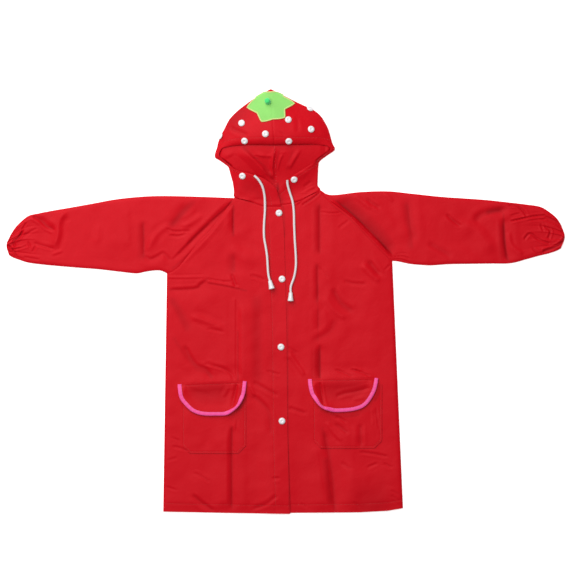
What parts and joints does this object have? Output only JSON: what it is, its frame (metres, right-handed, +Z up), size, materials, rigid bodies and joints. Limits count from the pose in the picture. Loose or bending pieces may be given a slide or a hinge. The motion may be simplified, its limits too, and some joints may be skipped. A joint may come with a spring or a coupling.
{
  "type": "kids rain jacket",
  "caption": "Child's hooded rain coat laid out flat on its back, with snap fastening, round pocket flaps, raglan sleeves and a hood with drawstrings.",
  "frame": {"origin": "middle of the laid-out coat's length and width, on the surface it lies on", "axes": "+X towards the wearer's left sleeve, +Y from the hem to the hood, +Z up out of the surface"},
  "size_m": [1.0328, 0.7862, 0.0358],
  "materials": {
    "cloth_red": "satin",
    "binding_pink": "satin",
    "caps_white": "gloss",
    "leaf_green": "matte",
    "stem_green": "satin",
    "cord_white": "matte",
    "stops_white": "gloss"
  },
  "bodies": {
    "root": {"back": "cloth_red", "front_right": "cloth_red", "front_left": "cloth_red", "sleeve_right": "cloth_red", "sleeve_left": "cloth_red", "hood_right": "cloth_red", "hood_left": "cloth_red", "pocket_right": "cloth_red", "pocket_left": "cloth_red", "flap_right": "cloth_red", "flap_left": "cloth_red", "flap_binding_right": "binding_pink", "flap_binding_left": "binding_pink", "snap_1": "caps_white", "snap_2": "caps_white", "snap_3": "caps_white", "snap_4": "caps_white", "hood_dot_01": "caps_white", "hood_dot_02": "caps_white", "hood_dot_03": "caps_white", "hood_dot_04": "caps_white", "hood_dot_05": "caps_white", "hood_dot_06": "caps_white", "hood_dot_07": "caps_white", "hood_dot_08": "caps_white", "hood_dot_09": "caps_white", "hood_dot_10": "caps_white", "leaf": "leaf_green", "leaf_stem": "stem_green", "drawstring_right": "cord_white", "drawstring_left": "cord_white", "cord_end_right": "stops_white", "cord_end_left": "stops_white"}
  },
  "joints": []
}
